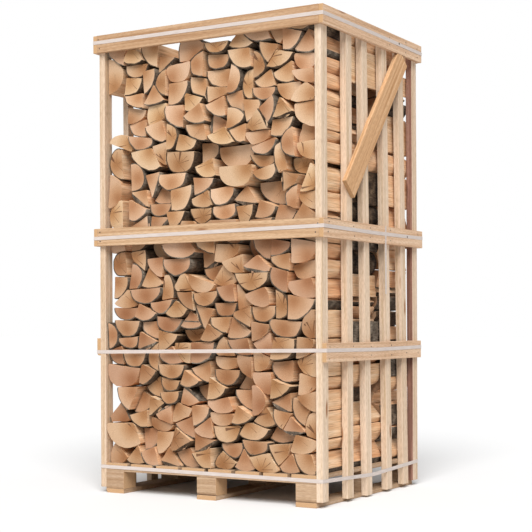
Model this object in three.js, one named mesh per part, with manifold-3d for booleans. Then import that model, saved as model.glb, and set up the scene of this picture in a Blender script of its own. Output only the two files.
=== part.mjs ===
// A pallet of split firewood: a slatted crate on a block pallet, filled with three rows of logs and
// held by four straps. Millimetres, +Z up. The origin is on the floor under the middle of the crate,
// and the open front, where the log ends show, faces -Y.

import * as THREE from "three";
import { mergeVertices } from "three/addons/utils/BufferGeometryUtils.js";
import Module from "manifold-3d";

const wasm = await Module();
wasm.setup();

// Crate
const CRATE = { width: 1200, depth: 1000, height: 2100 };
const RAIL = { height: 80, thickness: 20 };
const LATH = { thickness: 30, width: 54 };
const GAP = 0.3; // left between pieces that only touch
const MIDDLE_RAIL_BOTTOM = 1132;
const LOWER_RAIL_BOTTOM = { left: 629, right: 610 };
const POST_BOTTOM = 25;
const LATH_TOP = 2094;
// Each slat's middle along the side, at its top and at its foot, and the height of its foot.
const RIGHT_SLATS = [
  { top: -226, foot: -221, bottom: 15 },
  { top: -78, foot: -38, bottom: 8 },
  { top: 124, foot: 170, bottom: 12 },
  { top: 302, foot: 346, bottom: 18 },
];
const LEFT_SLATS = [
  { top: -276, foot: -262, bottom: 14 },
  { top: -84, foot: -96, bottom: 10 },
  { top: 96, foot: 92, bottom: 16 },
  { top: 264, foot: 288, bottom: 9 },
];
// A brace is square cut at its foot and head, and the top rail cuts off the corner of its head.
const BRACE = { width: 106, foot: { y: -256, z: 1350 }, rise: 50.2, length: 860 };

// Pallet
const SKID_THICKNESS = 20;
const BLOCK = { width: 100, depth: 92, height: 80 };
const STRINGER = { width: 100, thickness: 16 };
const DECK_BOARD = { count: 8, width: 120, thickness: 20 };

// Straps
const STRAP = { width: 16, thickness: 1 };
const STRAP_TAIL = { y: 92, top: 1213, bottom: 905, width: 13 };
// The height of each strap's middle at the left, at the right, and halfway along the sides.
const STRAP_HEIGHT = {
  top: { left: 2068, right: 2062, sides: 2064 },
  middle: { left: 1168, right: 1179, sides: 1176 },
  lower: { left: 646, right: 660, sides: 656 },
  bottom: { left: 119, right: 114, sides: 97 },
};

// Firewood
const ROW_LENGTH = 312;
const ROW_SPACING = 322;
const STACK_TOP = { lowest: 2000, highest: 2080 };
const LOG_GAP = 3.6; // between log ends
const LOG_SWELL = 6; // how far a log may fill a gap beside it
const LOG_CORNERS = 7;
const LEAST_CORNER = 120; // square millimetres that a corner adds to an outline
const LOG_AREA = { least: 4400, most: 15800 };
const TRUNK_SIDES = 11;
const TRUNK_OVAL = 0.86; // the least share of its width that a trunk is high
const HALF_SHARE = 0.42; // of the logs are split once, the rest mostly twice
const HALF_RADIUS = { least: 58, most: 95 };
const FINE_RADIUS = { least: 84, most: 128 };
const THIRD_BLOW_SHARE = 0.15;
// How far a blow lands past the heart, as a share of the radius, and the turn to the next blow.
const BLOW_PLACE = { least: -0.16, most: 0.2 };
const BLOW_TURN = { least: 1.15, most: 2 };
const END_SET_BACK = { usual: 24, deep: 85 };
const DEEP_SHARE = 0.18;
const END_SLOPE = 0.075;
const END_MARGIN = 6; // keeps the sloping ends behind the front of the row
const CORE_SET_BACK = 120;
const CORE_INSET = 34;
const CORE_STEPS = 15;
const COLUMN = 4; // width of a step of the skyline that logs are laid on
const LOG_TRIES = 30;
const TURNS = 20;
const USUAL_RISE = 84; // a log's top is mostly no higher than this above the lowest place
const RISE_COST = 0.0045; // for each millimetre past that
const BARK_UP_COST = 0.2; // most logs lie with their round side down
// The front row leaves a place beside its left post empty.
const EMPTY_PLACE = { width: 104, bottom: 1640, top: 1840 };
const NO_EMPTY_PLACE = { width: 0, bottom: 0, top: 0 };
const FRONT_STACK = { seed: 20417, left: -546, right: 546, empty: EMPTY_PLACE };
const BACK_STACK = { seed: 7793, left: -546, right: 546, empty: NO_EMPTY_PLACE };
// A linear congruential generator
const RANDOM = { factor: 1664525, step: 1013904223, range: 2 ** 32 };

// Derived places
const RAIL_INNER_X = CRATE.width / 2 - RAIL.thickness;
const POST_FRONT_Y = CRATE.depth / 2 - RAIL.thickness;
const BASE_HALF_WIDTH = RAIL_INNER_X - LATH.thickness;
const BLOCK_TOP = SKID_THICKNESS + BLOCK.height;
const STRINGER_TOP = BLOCK_TOP + STRINGER.thickness;
const DECK_TOP = STRINGER_TOP + DECK_BOARD.thickness;
const TOP_RAIL_BOTTOM = CRATE.height - RAIL.height;

const SIDES = [["left", -1], ["right", 1]];
const ENDS = [["front", -1], ["back", 1]];

const group = new THREE.Group();

function wood(color) {
  return new THREE.MeshStandardMaterial({ color, roughness: 0.85, metalness: 0 });
}

const LATH_WOOD = wood(0xe8cca6);
const RAIL_WOOD = wood(0xd6ab74);
const PALLET_WOOD = wood(0xc79b6b);
const LOG_WOOD = wood(0xd3a273);
const STRAP_WHITE = new THREE.MeshStandardMaterial({ color: 0xf2f0ee, roughness: 0.45, metalness: 0 });

function addPiece(name, geometry, material, x = 0, y = 0, z = 0) {
  const mesh = new THREE.Mesh(geometry, material);
  mesh.name = name;
  mesh.position.set(x, y, z);
  group.add(mesh);
  return mesh;
}

function addBoard(name, material, size, x, y, bottom) {
  const geometry = new THREE.BoxGeometry(size.x, size.y, size.z);
  return addPiece(name, geometry, material, x, y, bottom + size.z / 2);
}

// Pallet: skids run front to back, blocks stand on them, stringers tie the blocks across, and the deck
// boards lie front to back on the stringers.
function addPallet() {
  const baseDepth = 2 * POST_FRONT_Y;
  const columnX = BASE_HALF_WIDTH - BLOCK.width / 2;
  const rowY = POST_FRONT_Y - BLOCK.depth / 2;
  const columns = [["left", -columnX], ["middle", 0], ["right", columnX]];
  const rows = [["front", -rowY], ["middle", 0], ["back", rowY]];
  for (const [column, x] of columns) {
    const skid = { x: BLOCK.width, y: baseDepth, z: SKID_THICKNESS };
    addBoard(`skid_${column}`, PALLET_WOOD, skid, x, 0, 0);
    for (const [row, y] of rows) {
      const block = { x: BLOCK.width, y: BLOCK.depth, z: BLOCK.height };
      addBoard(`block_${row}_${column}`, PALLET_WOOD, block, x, y, SKID_THICKNESS);
    }
  }
  for (const [row, y] of rows) {
    const stringer = { x: 2 * BASE_HALF_WIDTH, y: STRINGER.width, z: STRINGER.thickness };
    const flush = Math.sign(y) * (POST_FRONT_Y - STRINGER.width / 2);
    addBoard(`stringer_${row}`, PALLET_WOOD, stringer, 0, flush, BLOCK_TOP);
  }
  const pitch = (2 * BASE_HALF_WIDTH - DECK_BOARD.width) / (DECK_BOARD.count - 1);
  for (let i = 0; i < DECK_BOARD.count; i += 1) {
    const size = { x: DECK_BOARD.width, y: baseDepth, z: DECK_BOARD.thickness };
    const x = -BASE_HALF_WIDTH + DECK_BOARD.width / 2 + i * pitch;
    addBoard(`deck_board_${i + 1}`, PALLET_WOOD, size, x, 0, STRINGER_TOP);
  }
}

// Crate: a post at each corner and four slats on each side, nailed to the pallet's sides, with rails
// round the outside at the top and the middle, and a lower rail and a brace on each side.
function addPosts() {
  const size = { x: LATH.thickness, y: LATH.width, z: LATH_TOP - POST_BOTTOM };
  const x = RAIL_INNER_X - LATH.thickness / 2;
  const y = POST_FRONT_Y - LATH.width / 2;
  for (const [side, sx] of SIDES) {
    for (const [end, sy] of ENDS) {
      addBoard(`post_${end}_${side}`, LATH_WOOD, size, sx * x, sy * y, POST_BOTTOM);
    }
  }
}

function addSlats(side, sx, slats) {
  const thickness = LATH.thickness - 2 * GAP;
  const x = sx * (RAIL_INNER_X - LATH.thickness / 2);
  slats.forEach((slat, i) => {
    const height = LATH_TOP - slat.bottom;
    const lean = Math.atan2(slat.foot - slat.top, height);
    const geometry = new THREE.BoxGeometry(thickness, LATH.width, height / Math.cos(lean));
    const middleY = (slat.top + slat.foot) / 2;
    const name = `slat_${side}_${i + 1}`;
    const mesh = addPiece(name, geometry, LATH_WOOD, x, middleY, slat.bottom + height / 2);
    mesh.rotation.x = lean;
  });
}

function addRails() {
  const across = { x: 2 * RAIL_INNER_X, y: RAIL.thickness, z: RAIL.height };
  const along = { x: RAIL.thickness, y: CRATE.depth, z: RAIL.height };
  const lower = { x: RAIL.thickness, y: 2 * POST_FRONT_Y, z: RAIL.height };
  const endY = POST_FRONT_Y + RAIL.thickness / 2;
  const sideX = RAIL_INNER_X + RAIL.thickness / 2;
  for (const [level, bottom] of [["top", TOP_RAIL_BOTTOM], ["middle", MIDDLE_RAIL_BOTTOM]]) {
    for (const [end, sy] of ENDS) {
      addBoard(`rail_${level}_${end}`, RAIL_WOOD, across, 0, sy * endY, bottom);
    }
    for (const [side, sx] of SIDES) {
      addBoard(`rail_${level}_${side}`, RAIL_WOOD, along, sx * sideX, 0, bottom);
    }
  }
  for (const [side, sx] of SIDES) {
    addBoard(`rail_lower_${side}`, RAIL_WOOD, lower, sx * sideX, 0, LOWER_RAIL_BOTTOM[side]);
  }
}

function braceOutline() {
  const rise = THREE.MathUtils.degToRad(BRACE.rise);
  const along = [Math.cos(rise), Math.sin(rise)];
  const half = BRACE.width / 2;
  const corner = (distance, offset) => [
    BRACE.foot.y + along[0] * distance - along[1] * offset,
    BRACE.foot.z + along[1] * distance + along[0] * offset,
  ];
  const outline = [
    corner(0, half),
    corner(0, -half),
    corner(BRACE.length, -half),
    corner(BRACE.length, half),
  ];
  return clip(outline, [0, 1], TOP_RAIL_BOTTOM - GAP);
}

function addBraces() {
  const outline = braceOutline();
  const depth = RAIL.thickness - GAP;
  const [x, y, z] = [new THREE.Vector3(1, 0, 0), new THREE.Vector3(0, 1, 0), new THREE.Vector3(0, 0, 1)];
  const uprightAcross = new THREE.Matrix4().makeBasis(y, z, x);
  for (const [side, sx] of SIDES) {
    const geometry = new THREE.ExtrudeGeometry(shapeOf(outline), { depth, bevelEnabled: false });
    geometry.applyMatrix4(uprightAcross);
    const inner = sx > 0 ? RAIL_INNER_X + GAP : -RAIL_INNER_X - GAP - depth;
    addPiece(`brace_${side}`, geometry, RAIL_WOOD, inner, 0, 0);
  }
}

// Straps: each is a flat band round the crate, a little out of level.
function bandGeometry(halfX, halfY, height) {
  const ring = (margin) => {
    const x = halfX + margin;
    const y = halfY + margin;
    return [[-x, -y], [0, -y], [x, -y], [x, 0], [x, y], [0, y], [-x, y], [-x, 0]];
  };
  const shape = shapeOf(ring(GAP + STRAP.thickness));
  shape.holes.push(shapeOf(ring(GAP)));
  const band = new THREE.ExtrudeGeometry(shape, { depth: STRAP.width, bevelEnabled: false });
  const positions = band.attributes.position;
  const mean = (height.left + height.right) / 2;
  const tilt = (height.right - height.left) / 2;
  for (let i = 0; i < positions.count; i += 1) {
    const x = positions.getX(i);
    const onSideMiddle = positions.getY(i) === 0;
    const middle = onSideMiddle ? height.sides : mean + (tilt * x) / halfX;
    positions.setZ(i, positions.getZ(i) + middle - STRAP.width / 2);
  }
  return band;
}

// The free end of the middle strap, which is folded down over the rail on the right.
function tailGeometry() {
  const height = STRAP_TAIL.top - STRAP_TAIL.bottom;
  const tail = new THREE.BoxGeometry(STRAP.thickness, STRAP_TAIL.width, height);
  const x = CRATE.width / 2 + GAP + STRAP.thickness;
  tail.translate(x, STRAP_TAIL.y, STRAP_TAIL.bottom + height / 2);
  return tail;
}

function addStraps() {
  const wide = CRATE.width / 2;
  const deep = CRATE.depth / 2;
  const top = bandGeometry(wide, deep, STRAP_HEIGHT.top);
  const middle = solidOf(bandGeometry(wide, deep, STRAP_HEIGHT.middle)).add(solidOf(tailGeometry()));
  const lower = bandGeometry(wide, POST_FRONT_Y, STRAP_HEIGHT.lower);
  const bottom = bandGeometry(RAIL_INNER_X, POST_FRONT_Y, STRAP_HEIGHT.bottom);
  addPiece("strap_top", top, STRAP_WHITE);
  addPiece("strap_middle", geometryOf(middle), STRAP_WHITE);
  addPiece("strap_lower", lower, STRAP_WHITE);
  addPiece("strap_bottom", bottom, STRAP_WHITE);
}

// Flat outlines, as lists of points that turn counterclockwise
function shapeOf(outline) {
  return new THREE.Shape(outline.map(([x, y]) => new THREE.Vector2(x, y)));
}

// The part of a convex outline where the distance along a direction is at most the limit.
function clip(outline, direction, limit) {
  const kept = [];
  outline.forEach((point, i) => {
    const next = outline[(i + 1) % outline.length];
    const here = distanceAlong(point, direction) - limit;
    const there = distanceAlong(next, direction) - limit;
    if (here <= 0) kept.push(point);
    if (here * there < 0) {
      const share = here / (here - there);
      kept.push([point[0] + share * (next[0] - point[0]), point[1] + share * (next[1] - point[1])]);
    }
  });
  return kept;
}

function distanceAlong(point, direction) {
  return point[0] * direction[0] + point[1] * direction[1];
}

function areaOf(outline) {
  let twice = 0;
  outline.forEach(([x, z], i) => {
    const next = outline[(i + 1) % outline.length];
    twice += x * next[1] - next[0] * z;
  });
  return twice / 2;
}

// The directions that the edges of an outline face.
function edgeNormals(outline) {
  return outline.map(([x, z], i) => {
    const next = outline[(i + 1) % outline.length];
    const length = Math.hypot(next[0] - x, next[1] - z);
    return [(next[1] - z) / length, (x - next[0]) / length];
  });
}

function reach(outline, direction) {
  return Math.max(...outline.map((point) => distanceAlong(point, direction)));
}

function middleOf(outline) {
  return [0, 1].map((axis) => outline.reduce((sum, point) => sum + point[axis], 0) / outline.length);
}

function turned(outline, angle) {
  const cos = Math.cos(angle);
  const sin = Math.sin(angle);
  return outline.map(([x, z]) => [x * cos - z * sin, x * sin + z * cos]);
}

function moved(outline, dx, dz) {
  return outline.map(([x, z]) => [x + dx, z + dz]);
}

// Drops the corners that matter least, until few are left.
function simplified(outline, most) {
  const corners = outline.slice();
  const cornerArea = (i) => {
    const before = corners[(i + corners.length - 1) % corners.length];
    return areaOf([before, corners[i], corners[(i + 1) % corners.length]]);
  };
  for (;;) {
    const areas = corners.map((_, i) => cornerArea(i));
    const least = Math.min(...areas);
    if (corners.length <= 3 || (corners.length <= most && least > LEAST_CORNER)) return corners;
    corners.splice(areas.indexOf(least), 1);
  }
}

// Firewood: numbers that look random and are the same on every run.
function randomNumbers(seed) {
  let state = seed;
  return (low = 0, high = 1) => {
    state = (state * RANDOM.factor + RANDOM.step) % RANDOM.range;
    return low + ((high - low) * state) / RANDOM.range;
  };
}

// A round trunk with its heart at the origin, split by a first blow near the heart and mostly by one or
// two more across that.
function splitLog(random) {
  const isHalf = random() < HALF_SHARE;
  const { least, most } = isHalf ? HALF_RADIUS : FINE_RADIUS;
  const radius = random(least, most);
  const oval = random(TRUNK_OVAL, 1);
  const fineBlows = random() < THIRD_BLOW_SHARE ? 3 : 2;
  const blows = isHalf ? 1 : fineBlows;
  let outline = [];
  for (let i = 0; i < TRUNK_SIDES; i += 1) {
    const angle = (2 * Math.PI * i) / TRUNK_SIDES;
    outline.push([radius * Math.cos(angle), radius * oval * Math.sin(angle)]);
  }
  let facing = random(0, 2 * Math.PI);
  for (let blow = 0; blow < blows; blow += 1) {
    const direction = [Math.cos(facing), Math.sin(facing)];
    outline = clip(outline, direction, radius * random(BLOW_PLACE.least, BLOW_PLACE.most));
    facing += random(BLOW_TURN.least, BLOW_TURN.most);
  }
  return outline;
}

function chooseLog(random) {
  for (;;) {
    const outline = splitLog(random);
    const area = areaOf(outline);
    if (area > LOG_AREA.least && area < LOG_AREA.most) return outline;
  }
}

// The heights of the underside and the top of an outline over each column that it covers.
function profileOf(outline) {
  const count = Math.ceil(reach(outline, [1, 0]) / COLUMN);
  const low = new Array(count).fill(Infinity);
  const high = new Array(count).fill(-Infinity);
  outline.forEach((corner, i) => {
    const next = outline[(i + 1) % outline.length];
    const [from, to] = corner[0] < next[0] ? [corner, next] : [next, corner];
    const last = Math.min(count - 1, Math.floor(to[0] / COLUMN));
    for (let column = Math.floor(from[0] / COLUMN); column <= last; column += 1) {
      for (const edge of [column * COLUMN, (column + 1) * COLUMN]) {
        const x = Math.min(Math.max(edge, from[0]), to[0]);
        const share = to[0] > from[0] ? (x - from[0]) / (to[0] - from[0]) : 0;
        const height = from[1] + share * (to[1] - from[1]);
        low[column] = Math.min(low[column], height);
        high[column] = Math.max(high[column], height);
      }
    }
  });
  return { low, high };
}

// The snuggest place for a log over the lowest column of the skyline.
function bestPlace(skyline, lowest, outline, empty) {
  const { low, high } = profileOf(outline);
  const area = areaOf(outline);
  let best = { score: Infinity };
  for (let start = Math.max(0, lowest - low.length + 1); start <= lowest; start += 1) {
    if (start + low.length > skyline.length) break;
    let bottom = 0;
    low.forEach((under, i) => {
      bottom = Math.max(bottom, skyline[start + i] - under);
    });
    let gap = 0;
    low.forEach((under, i) => {
      gap += (bottom + under - skyline[start + i]) * COLUMN;
    });
    const top = bottom + Math.max(...high);
    if (top > STACK_TOP.highest) continue;
    const isBeside = start * COLUMN < empty.width;
    if (isBeside && top > empty.bottom && bottom < empty.top) continue;
    const rise = Math.max(0, top - skyline[lowest] - USUAL_RISE);
    const score = gap / area + rise * RISE_COST;
    if (score < best.score) best = { score, start, bottom, high, outline };
  }
  return best;
}

// The best of several logs, each tried in many turns, for the lowest place on the skyline.
function nextLog(random, skyline, lowest, empty) {
  let best = { score: Infinity };
  for (let i = 0; i < LOG_TRIES; i += 1) {
    const log = chooseLog(random);
    const [middleX, middleZ] = middleOf(log);
    const start = random(0, 2 * Math.PI);
    for (let turn = 0; turn < TURNS; turn += 1) {
      const angle = start + (2 * Math.PI * turn) / TURNS;
      const lying = turned(log, angle);
      const cornered = moved(lying, reach(lying, [-1, 0]), reach(lying, [0, -1]));
      const place = bestPlace(skyline, lowest, cornered, empty);
      const barkUp = Math.sin(Math.atan2(middleZ, middleX) + angle);
      const score = place.score + barkUp * BARK_UP_COST;
      if (score < best.score) best = { ...place, score };
    }
  }
  return best;
}

// Lays logs one at a time in the lowest place, until no place is left below the top. Where none fits,
// the stack goes on above its empty place, or the column is closed.
function stackLogs(stack) {
  const random = randomNumbers(stack.seed);
  const skyline = new Array(Math.floor((stack.right - stack.left) / COLUMN)).fill(DECK_TOP + GAP);
  const closed = new Set();
  const logs = [];
  for (;;) {
    const open = skyline.map((height, i) => (closed.has(i) ? Infinity : height));
    const height = Math.min(...open);
    const lowest = open.indexOf(height);
    if (height > STACK_TOP.lowest) return { logs: settled(logs, stack), skyline, random };
    const log = nextLog(random, skyline, lowest, stack.empty);
    if (log.score === Infinity) {
      const isBeside = lowest * COLUMN < stack.empty.width;
      if (isBeside && height < stack.empty.top) skyline[lowest] = stack.empty.top;
      else closed.add(lowest);
      continue;
    }
    log.high.forEach((top, i) => {
      skyline[log.start + i] = log.bottom + top;
    });
    logs.push(moved(log.outline, stack.left + log.start * COLUMN, log.bottom));
  }
}

// The direction that best parts two outlines, and how far apart they are along it.
function parting(first, second) {
  let best = { space: -Infinity };
  const directions = [...edgeNormals(first), ...edgeNormals(second).map(([x, z]) => [-x, -z])];
  for (const direction of directions) {
    const end = reach(first, direction);
    const start = -reach(second, [-direction[0], -direction[1]]);
    if (start - end > best.space) best = { space: start - end, direction, middle: (start + end) / 2 };
  }
  return best;
}

// The directions that the corners of an outline face.
function cornerNormals(outline) {
  const normals = edgeNormals(outline);
  return normals.map((after, i) => {
    const before = normals[(i + normals.length - 1) % normals.length];
    const sum = [before[0] + after[0], before[1] + after[1]];
    const length = Math.hypot(...sum);
    return [sum[0] / length, sum[1] / length];
  });
}

// Swells each log into the gaps beside it, up to its neighbours, and leaves it a simple outline.
function settled(logs, stack) {
  const { left, right } = stack;
  const bottom = DECK_TOP + GAP;
  const top = CRATE.height;
  return logs.map((log, i) => {
    let outline = [[left, bottom], [right, bottom], [right, top], [left, top]];
    for (const direction of [...edgeNormals(log), ...cornerNormals(log)]) {
      outline = clip(outline, direction, reach(log, direction) + LOG_SWELL);
    }
    logs.forEach((other, k) => {
      if (k === i) return;
      const { space, direction, middle } = parting(log, other);
      if (space < 2 * LOG_SWELL) outline = clip(outline, direction, middle - LOG_GAP / 2);
    });
    return simplified(outline, LOG_CORNERS);
  });
}

// Solids
function solidOf(geometry) {
  geometry.deleteAttribute("normal");
  geometry.deleteAttribute("uv");
  const merged = mergeVertices(geometry);
  const mesh = new wasm.Mesh({
    numProp: 3,
    vertProperties: new Float32Array(merged.attributes.position.array),
    triVerts: new Uint32Array(merged.index.array),
  });
  return new wasm.Manifold(mesh);
}

function geometryOf(solid) {
  const mesh = solid.getMesh();
  const geometry = new THREE.BufferGeometry();
  geometry.setAttribute("position", new THREE.BufferAttribute(new Float32Array(mesh.vertProperties), 3));
  geometry.setIndex(new THREE.BufferAttribute(new Uint32Array(mesh.triVerts), 1));
  geometry.computeVertexNormals();
  return geometry;
}

// An upright outline (x, z) drawn out from one depth to another, with a slope on its front end.
function prism(outline, front, back, slopeX = 0, slopeZ = 0) {
  const settings = { depth: back - front, bevelEnabled: false };
  const geometry = new THREE.ExtrudeGeometry(shapeOf(outline), settings);
  geometry.rotateX(Math.PI / 2);
  geometry.translate(0, back, 0);
  const positions = geometry.attributes.position;
  const [middleX, middleZ] = middleOf(outline);
  for (let i = 0; i < positions.count; i += 1) {
    if (positions.getY(i) > (front + back) / 2) continue;
    const across = slopeX * (positions.getX(i) - middleX);
    const up = slopeZ * (positions.getZ(i) - middleZ);
    positions.setY(i, front + across + up);
  }
  return solidOf(geometry);
}

// The body of a row behind its log ends: its top follows the top of the stack.
function coreOutline(stack, skyline) {
  const left = stack.left + CORE_INSET;
  const right = stack.right - CORE_INSET;
  const bottom = DECK_TOP + CORE_INSET / 2;
  const outline = [[left, bottom], [right, bottom]];
  const window = Math.ceil((right - left) / CORE_STEPS / COLUMN / 2);
  for (let step = CORE_STEPS; step >= 0; step -= 1) {
    const x = left + ((right - left) * step) / CORE_STEPS;
    const column = Math.round((x - stack.left) / COLUMN);
    const near = skyline.slice(Math.max(0, column - window), column + window);
    outline.push([x, Math.min(...near) - CORE_INSET]);
  }
  return outline;
}

function isInside(point, outline) {
  let inside = false;
  outline.forEach(([x, z], i) => {
    const next = outline[(i + 1) % outline.length];
    if (z > point[1] === next[1] > point[1]) return;
    if (point[0] < x + ((next[0] - x) * (point[1] - z)) / (next[1] - z)) inside = !inside;
  });
  return inside;
}

// One row of logs, with its log ends at the front. Logs on the outside of the row run its full length.
function rowSolid(stack, pile, front, withEnds) {
  const back = front + ROW_LENGTH;
  const core = coreOutline(stack, pile.skyline);
  const coreFront = withEnds ? front + CORE_SET_BACK : front + 1;
  let solid = prism(core, coreFront, back);
  for (const log of pile.logs) {
    const setBack = pile.random(0, pile.random() < DEEP_SHARE ? END_SET_BACK.deep : END_SET_BACK.usual);
    const slopes = [pile.random(-END_SLOPE, END_SLOPE), pile.random(-END_SLOPE, END_SLOPE)];
    const within = log.filter((corner) => isInside(corner, core)).length;
    if (within === 0) continue;
    const isOuter = within < log.length;
    if (!isOuter && !withEnds) continue;
    const logFront = front + END_MARGIN + setBack;
    const logBack = isOuter ? back - 1 : coreFront + END_MARGIN;
    solid = solid.add(prism(log, logFront, logBack, ...slopes));
  }
  return solid;
}

function mirrored(pile) {
  const logs = pile.logs.map((log) => log.map(([x, z]) => [-x, z]).reverse());
  return { ...pile, logs, skyline: pile.skyline.slice().reverse() };
}

function addFirewood() {
  const frontPile = stackLogs(FRONT_STACK);
  const backPile = stackLogs(BACK_STACK);
  const middleStack = { left: -FRONT_STACK.right, right: -FRONT_STACK.left };
  const rowFront = -ROW_SPACING - ROW_LENGTH / 2;
  const front = rowSolid(FRONT_STACK, frontPile, rowFront, true);
  const back = rowSolid(BACK_STACK, backPile, rowFront, true);
  const middle = rowSolid(middleStack, mirrored(frontPile), -ROW_LENGTH / 2, false);
  addPiece("firewood_front_row", geometryOf(front), LOG_WOOD);
  addPiece("firewood_middle_row", geometryOf(middle), LOG_WOOD);
  addPiece("firewood_back_row", geometryOf(back), LOG_WOOD).rotation.z = Math.PI;
}

addPallet();
addPosts();
addSlats("left", -1, LEFT_SLATS);
addSlats("right", 1, RIGHT_SLATS);
addRails();
addBraces();
addStraps();
addFirewood();

export default group;
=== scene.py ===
"""A pallet of split firewood in a slatted crate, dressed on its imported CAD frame.

Metres, +Z up. The open front, where the log ends show, faces -Y.
"""

import math
import random

import bmesh
import bpy
from mathutils import Matrix, Vector, noise


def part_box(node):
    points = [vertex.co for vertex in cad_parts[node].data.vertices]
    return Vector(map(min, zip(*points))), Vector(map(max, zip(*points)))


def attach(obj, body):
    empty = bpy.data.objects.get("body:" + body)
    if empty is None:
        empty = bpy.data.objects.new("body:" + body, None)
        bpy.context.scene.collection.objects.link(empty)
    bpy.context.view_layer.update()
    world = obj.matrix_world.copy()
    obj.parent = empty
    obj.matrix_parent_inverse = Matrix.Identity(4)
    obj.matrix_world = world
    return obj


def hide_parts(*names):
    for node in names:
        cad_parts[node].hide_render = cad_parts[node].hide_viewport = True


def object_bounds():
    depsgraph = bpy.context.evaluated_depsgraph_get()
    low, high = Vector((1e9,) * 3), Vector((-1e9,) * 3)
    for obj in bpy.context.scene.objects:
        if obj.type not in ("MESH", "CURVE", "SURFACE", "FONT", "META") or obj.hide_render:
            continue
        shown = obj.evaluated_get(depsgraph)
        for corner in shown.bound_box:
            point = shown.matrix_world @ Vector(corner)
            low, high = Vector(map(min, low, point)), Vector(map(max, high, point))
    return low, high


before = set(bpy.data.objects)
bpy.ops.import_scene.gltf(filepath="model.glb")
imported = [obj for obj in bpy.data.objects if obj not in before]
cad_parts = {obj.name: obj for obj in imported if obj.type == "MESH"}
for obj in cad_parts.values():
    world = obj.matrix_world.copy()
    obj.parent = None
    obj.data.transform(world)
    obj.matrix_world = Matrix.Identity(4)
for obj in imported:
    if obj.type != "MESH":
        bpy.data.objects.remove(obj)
cad_low, cad_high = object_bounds()

MM = 0.001
TOUCHING = 0.05 * MM  # points closer than this are one
SAME_WAY = 0.8  # the least cosine between two directions that count as one
PARALLEL = 0.99  # the same, for edges
FLAT_TURN = math.radians(0.6)  # faces that turn less than this are joined
NOISE_SEED = 1
NOISE_MEAN = 0.5  # of the noise in materials
NOISE_RANGE = 90  # shapes start at chance places in the noise, up to this far out
GRAIN_RANGE = 9  # the same, in metres, for the grain of boards and logs

# Firewood
END_BAND = 372 * MM  # log ends lie further out than this from the middle of the crate
END_FACING = 0.97  # the least cosine between a log end and the way it faces
SMOOTH_TURN = math.radians(57)  # a corner that turns less than this lies on the round of the trunk
ARC_CUTS = 4
LEAST_EDGE = 0.8 * MM
BARK_SHARE = 0.85  # of the logs with a round side, that still have its bark
SIDE_BARK_SHARE = {"front": 0.24, "middle": 0.4, "back": 0.4}  # the same at the sides, by row
SIDE_BAND = 530 * MM
BARK_THICKNESS = 4.5 * MM
SPLIT_CORNER = 4 * MM
OUTLINE_STEP = 26 * MM
LENGTH_CUTS = 7
LUMP = {"across": 29 * MM, "along": 111 * MM, "depth": 2.8 * MM}
FINER_LUMP = {"size": 1 / 2.3, "share": 0.5}
LOG_GAP = 1.3 * MM  # logs stand back this far, so that they touch only at their lumps
HEART_PAST_MIDDLE = 0.55  # as a share of the log's reach
HEART_FROM_CORNER = 0.3  # of a log without bark, as a share of the way to its middle
RING_SPACING = 4.2 * MM  # twice the real spacing, so that the rings show
RING_DARKNESS = 0.16
CHECK_TURN = 1.5  # from one drying crack to the next or the one after, in radians
CHECK_WIDTH = 0.009  # a crack runs where noise comes this close to its mean, on the most cracked log
CHECK_DARKNESS = 0.8
WHOLE_SHARE = 0.5  # of the logs, that have no cracks
CHECK_REACH = 58 * MM  # cracks end this far from the heart
FUZZ_DARKNESS = 0.55  # of the torn fibres on log ends
FIBRE_DARKNESS = 0.6
FURROW_DARKNESS = 0.75
END_SHADE = 0.6  # how much the shade of a log darkens its ends, painted shade low in the stack included
SPLIT_SHADE = 0.12  # and its split faces
PAINTED_SHADE_BELOW = 1200 * MM  # logs below the middle rail get painted shade, for less light low in the stack
# Painted shade: how much darker the shade of each log below that height starts
LOW_PAINTED_SHADE = 0.42
SHADE_LEAN = 2.0  # more than 1 makes light logs more common than dark ones
MIDDLE_ROW = (-156 * MM, 156 * MM)
MIDDLE_SET_BACK = 12 * MM
FRONT_ROW_BACK = -167 * MM
COURSES = (700 * MM, 1350 * MM)  # heights that part a row into courses, so that each piece stays light

# Sawn timber
EDGE_WEAR = 1.6 * MM
WANE = (8 * MM, 17 * MM)
BOARD_STEP = 130 * MM
BOARD_WARP = 1.3 * MM
BEND_LENGTH = 417 * MM
NICK = {"size": 26 * MM, "share": 0.3}
KNOT_SHARE = 0.42  # of the places for a knot, that have one
KNOT_EDGE = (0.07, 0.15)  # where a knot starts and ends to fade, as a share of the way to the next
SAW_FUZZ_DARKNESS = 0.6
WEATHER_DARKNESS = 0.5
WEATHER_SHARE = 0.5  # of the way to the weathered colour, for the most weathered board
# How weathered a board is, from 0 to 1, where the photograph shows it; the others are left to chance.
BOARD_TINT = {
    # Painted shade: the left front post is drawn at the full weathered colour, darker, for the shade on
    # the left of the crate.
    "post_front_left": 1.0,
    "post_front_right": 0.0,
    "slat_right_1": 0.1,
    "slat_right_2": 0.0,
    "slat_right_3": 0.15,
    "rail_top_front": 1.0,
    "rail_top_right": 0.1,
    "rail_middle_front": 0.2,
    "rail_middle_right": 0.0,
    "rail_lower_right": 0.0,
    "block_front_left": 0.9,
    "block_front_middle": 0.1,
    "block_front_right": 0.2,
}
DARK_BROWN_SIDE = {"post_back_right": Vector((0, -1, 0))}  # the side of a board that is drawn a darker reddish brown

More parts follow.
